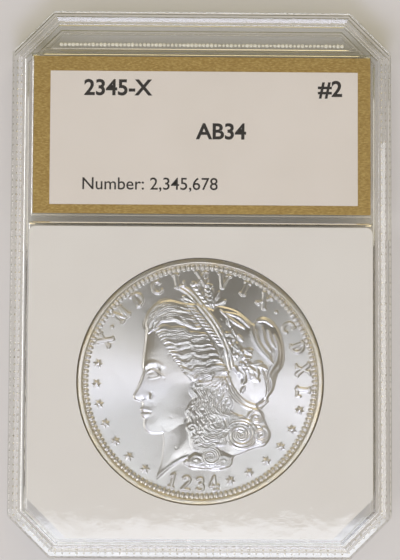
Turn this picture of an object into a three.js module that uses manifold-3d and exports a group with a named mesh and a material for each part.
// Graded coin slab: a flat, sealed holder that shows one large silver coin below its paper label.
// Two clear polystyrene shells meet on a parting plane and are welded together around the rim.
// Units are millimetres. The slab lies on its back: +Z out of its front face, +Y towards the label,
// and the origin is at the centre of the back face.

import * as THREE from 'three';
import { mergeVertices } from 'three/addons/utils/BufferGeometryUtils.js';
import Module from 'manifold-3d';

const wasm = await Module();
wasm.setup();

// ---- Driving dimensions ----

const SLAB_WIDTH = 58.7;
const SLAB_HEIGHT = 84.4;
const SLAB_THICKNESS = 7.6;
const CORNER_CHAMFER = 6.4;

// Levels through the thickness, counted from the back face.
const BACK_STEP = 0.6;
const CAVITY_FLOOR = 1.7;
const PARTING_BACK = 3.7;
const PARTING_FRONT = 3.9;
const CAVITY_CEILING = 5.3;
const WINDOW_FACE = 6.9;

// The front rim stands proud of the window, and the back field fits inside it when slabs are stacked.
const RIM_LAND = 1.35;
const RIM_FLANK = 0.6;
const BACK_FIELD_INSET = 2.2;
const EDGE_BREAK = 0.25;

// Walls and bays, measured in from the outside of the slab.
const WALL = 2.7;
const LABEL_WALL = 3.0;
const HEADER_RIB_START = 5.75;
const LABEL_BAY_START = 6.3;
const LABEL_BAY_END = 31.7;
const COIN_BAY_START = 32.7;

// A lip round the inside of the back shell's wall stands in a step in the front shell's wall.
const LIP_START = 1.9;
const LIP_HEIGHT = 0.8;
const FIT_GAP = 0.1;

// The block above the label, which carries a weld of its own.
const HEADER_BLOCK_INSET = 3.1;
const HEADER_BLOCK_END = 5.5;

// What is left of the melted weld ridges.
const WELD_START = 0.4;
const WELD_WIDTH = 0.7;
const HEADER_WELD_START = 4.4;
const HEADER_WELD_LENGTH = 45.0;

// Ledges that hold up the two long edges of the label.
const LEDGE_DEPTH = 1.3;
const LEDGE_TOP = 4.5;

const COIN_DIAMETER = 38.1;
const COIN_THICKNESS = 2.4;
const COIN_RIM_WIDTH = 1.1;
const COIN_FIELD_DEPTH = 0.4;
const COIN_CENTRE_Y = -15.0;
const COIN_MIDDLE_Z = 3.5;

const INSERT_WIDTH = 53.3;
const INSERT_HEIGHT = 48.1;
const INSERT_THICKNESS = 3.2;
const INSERT_CENTRE_Y = -15.15;
const INSERT_TOP_RADIUS = 1.0;
const INSERT_BOTTOM_CHAMFER = 6.2;
const BORE_GAP = 0.1;
const BORE_LEAD_IN = 0.5;

const CARD_WIDTH = 52.4;
const CARD_HEIGHT = 24.6;
const CARD_SHIFT_X = 0.1;
const CARD_THICKNESS = 0.35;
const SHEET_WIDTH = 47.8;
const SHEET_HEIGHT = 20.9;
const SHEET_THICKNESS = 0.12;
const SHEET_SHIFT_X = 0.4;
const SHEET_SHIFT_Y = -0.45;

const ROUND_SEGMENTS = 120;
const SLACK = 1.0;

// ---- Values worked out from them ----

const HALF_HEIGHT = SLAB_HEIGHT / 2;
const LABEL_CENTRE_Y = HALF_HEIGHT - (LABEL_BAY_START + LABEL_BAY_END) / 2;

// ---- Solids: joining and cutting ----

function solid(geometry) {
  const bare = geometry.clone();
  bare.deleteAttribute('normal');
  bare.deleteAttribute('uv');
  const merged = mergeVertices(bare, 1e-5);
  const mesh = new wasm.Mesh({
    numProp: 3,
    vertProperties: new Float32Array(merged.attributes.position.array),
    triVerts: new Uint32Array(merged.index.array),
  });
  return new wasm.Manifold(mesh);
}

function geometryOf(manifold) {
  const mesh = manifold.getMesh();
  const geometry = new THREE.BufferGeometry();
  geometry.setAttribute('position', new THREE.BufferAttribute(mesh.vertProperties, 3));
  geometry.setIndex(new THREE.BufferAttribute(mesh.triVerts, 1));
  geometry.computeVertexNormals();
  return geometry;
}

function joinAll(start, pieces) {
  return pieces.reduce((whole, piece) => whole.add(piece), start);
}

function cutAll(start, pieces) {
  return pieces.reduce((whole, piece) => whole.subtract(piece), start);
}

// ---- Outlines ----

// The slab's eight-sided outline, moved in by `inset` on every side.
function octagon(inset) {
  const x = SLAB_WIDTH / 2 - inset;
  const y = HALF_HEIGHT - inset;
  const c = CORNER_CHAMFER - inset * (2 - Math.SQRT2);
  const shape = new THREE.Shape();
  shape.moveTo(-x + c, -y);
  shape.lineTo(x - c, -y);
  shape.lineTo(x, -y + c);
  shape.lineTo(x, y - c);
  shape.lineTo(x - c, y);
  shape.lineTo(-x + c, y);
  shape.lineTo(-x, y - c);
  shape.lineTo(-x, -y + c);
  shape.closePath();
  return shape;
}

// ---- Solids of one height ----

function prism(shape, low, high) {
  const geometry = new THREE.ExtrudeGeometry(shape, { depth: high - low, bevelEnabled: false });
  geometry.translate(0, 0, low);
  return solid(geometry);
}

// An octagonal prism whose outer edges are broken at its low end and its high end.
function edgedPrism(inset, low, high, lowBreak, highBreak) {
  const breakSize = Math.max(lowBreak, highBreak);
  const geometry = new THREE.ExtrudeGeometry(octagon(inset), {
    depth: high - low - (lowBreak + highBreak),
    bevelEnabled: true,
    bevelThickness: breakSize,
    bevelSize: breakSize,
    bevelOffset: -breakSize,
    bevelSegments: 1,
  });
  geometry.translate(0, 0, low + lowBreak);
  const whole = solid(geometry);
  const keep = prism(octagon(inset - SLACK), low, high);
  return whole.intersect(keep);
}

function ring(outerInset, innerInset, low, high) {
  const outer = prism(octagon(outerInset), low, high);
  return outer.subtract(prism(octagon(innerInset), low - SLACK, high + SLACK));
}

function bar(length, start, end, low, high) {
  const geometry = new THREE.BoxGeometry(length, end - start, high - low);
  geometry.translate(0, HALF_HEIGHT - (start + end) / 2, (low + high) / 2);
  return solid(geometry);
}

// ---- The three bays between the shells, and the block in the first ----

function headerBay(low, high) {
  return prism(octagon(WALL), low, high).intersect(bar(SLAB_WIDTH, 0, HEADER_RIB_START, low, high));
}

function labelBay(low, high) {
  return bar(SLAB_WIDTH - 2 * LABEL_WALL, LABEL_BAY_START, LABEL_BAY_END, low, high);
}

function coinBay(low, high) {
  return prism(octagon(WALL), low, high).intersect(bar(SLAB_WIDTH, COIN_BAY_START, SLAB_HEIGHT, low, high));
}

function bays(low, high) {
  return [headerBay(low, high), labelBay(low, high), coinBay(low, high)];
}

function headerBlock(low, high) {
  return prism(octagon(HEADER_BLOCK_INSET), low, high)
    .intersect(bar(SLAB_WIDTH, 0, HEADER_BLOCK_END, low, high));
}

// ---- Clear shells ----

// The window side: a plate with a raised rim, whose inner flank slopes down to the window.
function frontShell() {
  const body = edgedPrism(0, PARTING_FRONT, SLAB_THICKNESS, 0, EDGE_BREAK);
  const flank = new THREE.ExtrudeGeometry(octagon(RIM_LAND + RIM_FLANK), {
    depth: SLACK,
    bevelEnabled: true,
    bevelThickness: SLAB_THICKNESS - WINDOW_FACE,
    bevelSize: RIM_FLANK,
    bevelSegments: 1,
  });
  flank.translate(0, 0, SLAB_THICKNESS);
  const lipRoom = ring(
    LIP_START - FIT_GAP,
    LABEL_WALL + FIT_GAP,
    PARTING_FRONT - SLACK,
    PARTING_BACK + LIP_HEIGHT + FIT_GAP,
  );
  const cuts = [solid(flank), lipRoom, ...bays(PARTING_FRONT - SLACK, CAVITY_CEILING)];
  return cutAll(body, cuts).add(headerBlock(PARTING_FRONT, CAVITY_CEILING + FIT_GAP));
}

// A ledge in the label bay, between `start` and `end` down from the top of the slab.
function ledge(start, end) {
  const length = SLAB_WIDTH - 2 * LABEL_WALL - 2 * SLACK;
  return bar(length, start, end, CAVITY_FLOOR - FIT_GAP, LEDGE_TOP);
}

// The underside: the same bays, a stepped back that nests in the next slab's rim, and the lip.
function backShell() {
  const body = prism(octagon(0), BACK_STEP, PARTING_BACK);
  const field = edgedPrism(BACK_FIELD_INSET, 0, BACK_STEP + FIT_GAP, EDGE_BREAK, 0);
  const open = cutAll(body.add(field), bays(CAVITY_FLOOR, PARTING_BACK + SLACK));
  return joinAll(open, [
    ring(LIP_START, WALL, PARTING_BACK - FIT_GAP, PARTING_BACK + LIP_HEIGHT),
    headerBlock(CAVITY_FLOOR - FIT_GAP, PARTING_BACK),
    ledge(LABEL_BAY_START + FIT_GAP, LABEL_BAY_START + LEDGE_DEPTH),
    ledge(LABEL_BAY_END - LEDGE_DEPTH, LABEL_BAY_END - FIT_GAP),
  ]);
}

// ---- Welds ----

function rimWeld() {
  return ring(WELD_START, WELD_START + WELD_WIDTH, PARTING_BACK, PARTING_FRONT);
}

function headerWeld() {
  const end = HEADER_WELD_START + WELD_WIDTH;
  return bar(HEADER_WELD_LENGTH, HEADER_WELD_START, end, PARTING_BACK, PARTING_FRONT);
}

// ---- What the slab holds ----

// A disc turned from a closed profile, with its axis moved from Y to Z.
function turned(profile) {
  const points = profile.map(([radius, height]) => new THREE.Vector2(radius, height));
  const geometry = new THREE.LatheGeometry(points, ROUND_SEGMENTS);
  geometry.rotateX(Math.PI / 2);
  return geometry;
}

function coinGeometry() {
  const radius = COIN_DIAMETER / 2;
  const half = COIN_THICKNESS / 2;
  const field = half - COIN_FIELD_DEPTH;
  const rimInside = radius - COIN_RIM_WIDTH;
  const rimBreak = 0.15;
  return turned([
    [0, -field],
    [rimInside - COIN_FIELD_DEPTH, -field],
    [rimInside, -half],
    [radius - rimBreak, -half],
    [radius, -half + rimBreak],
    [radius, half - rimBreak],
    [radius - rimBreak, half],
    [rimInside, half],
    [rimInside - COIN_FIELD_DEPTH, field],
    [0, field],
  ]);
}

function insertOutline() {
  const x = INSERT_WIDTH / 2;
  const y = INSERT_HEIGHT / 2;
  const c = INSERT_BOTTOM_CHAMFER;
  const r = INSERT_TOP_RADIUS;
  const shape = new THREE.Shape();
  shape.moveTo(-x + c, -y);
  shape.lineTo(x - c, -y);
  shape.lineTo(x, -y + c);
  shape.lineTo(x, y - r);
  shape.absarc(x - r, y - r, r, 0, Math.PI / 2, false);
  shape.lineTo(-x + r, y);
  shape.absarc(-x + r, y - r, r, Math.PI / 2, Math.PI, false);
  shape.lineTo(-x, -y + c);
  shape.closePath();
  return shape;
}

// The bore is plain round the coin and opens out towards the back, where the coin is pushed in.
function insertBore() {
  const land = COIN_DIAMETER / 2 + BORE_GAP;
  const half = INSERT_THICKNESS / 2;
  const flare = land + BORE_LEAD_IN;
  const geometry = turned([
    [0, -half - SLACK],
    [flare, -half - SLACK],
    [flare, -half],
    [land, -half + BORE_LEAD_IN],
    [land, half + SLACK],
    [0, half + SLACK],
  ]);
  geometry.translate(0, COIN_CENTRE_Y - INSERT_CENTRE_Y, 0);
  return solid(geometry);
}

function coinInsert() {
  const half = INSERT_THICKNESS / 2;
  const geometry = new THREE.ExtrudeGeometry(insertOutline(), {
    depth: INSERT_THICKNESS,
    bevelEnabled: false,
    curveSegments: 6,
  });
  geometry.translate(0, 0, -half);
  return solid(geometry).subtract(insertBore());
}

// ---- Materials ----

const CLEAR = { color: 0xe9e6dc, roughness: 0.06, metalness: 0, transparent: true, opacity: 0.35 };
const WELD = { color: 0xe4dfcf, roughness: 0.35, metalness: 0, transparent: true, opacity: 0.6 };
const INSERT = { color: 0xdcd7cf, roughness: 0.6, metalness: 0 };
const SILVER = { color: 0xc9c7c6, roughness: 0.28, metalness: 1 };
const GOLD_CARD = { color: 0xa88a50, roughness: 0.5, metalness: 0.2 };
const WHITE_SHEET = { color: 0xd6cdc1, roughness: 0.75, metalness: 0 };

function addPiece(group, name, geometry, look, x, y, z) {
  const mesh = new THREE.Mesh(geometry, new THREE.MeshStandardMaterial(look));
  mesh.name = name;
  mesh.position.set(x, y, z);
  group.add(mesh);
}

// ---- Assembly ----

const slab = new THREE.Group();
const sheetZ = LEDGE_TOP + CARD_THICKNESS + SHEET_THICKNESS / 2;

addPiece(slab, 'back_shell', geometryOf(backShell()), CLEAR, 0, 0, 0);
addPiece(slab, 'front_shell', geometryOf(frontShell()), CLEAR, 0, 0, 0);
addPiece(slab, 'rim_weld', geometryOf(rimWeld()), WELD, 0, 0, 0);
addPiece(slab, 'header_weld', geometryOf(headerWeld()), WELD, 0, 0, 0);
addPiece(slab, 'coin_insert', geometryOf(coinInsert()), INSERT, 0, INSERT_CENTRE_Y, COIN_MIDDLE_Z);
addPiece(slab, 'coin', coinGeometry(), SILVER, 0, COIN_CENTRE_Y, COIN_MIDDLE_Z);
addPiece(
  slab,
  'label_card',
  new THREE.BoxGeometry(CARD_WIDTH, CARD_HEIGHT, CARD_THICKNESS),
  GOLD_CARD,
  CARD_SHIFT_X,
  LABEL_CENTRE_Y,
  LEDGE_TOP + CARD_THICKNESS / 2,
);
addPiece(
  slab,
  'label_sheet',
  new THREE.BoxGeometry(SHEET_WIDTH, SHEET_HEIGHT, SHEET_THICKNESS),
  WHITE_SHEET,
  SHEET_SHIFT_X,
  LABEL_CENTRE_Y + SHEET_SHIFT_Y,
  sheetZ,
);

export default slab;
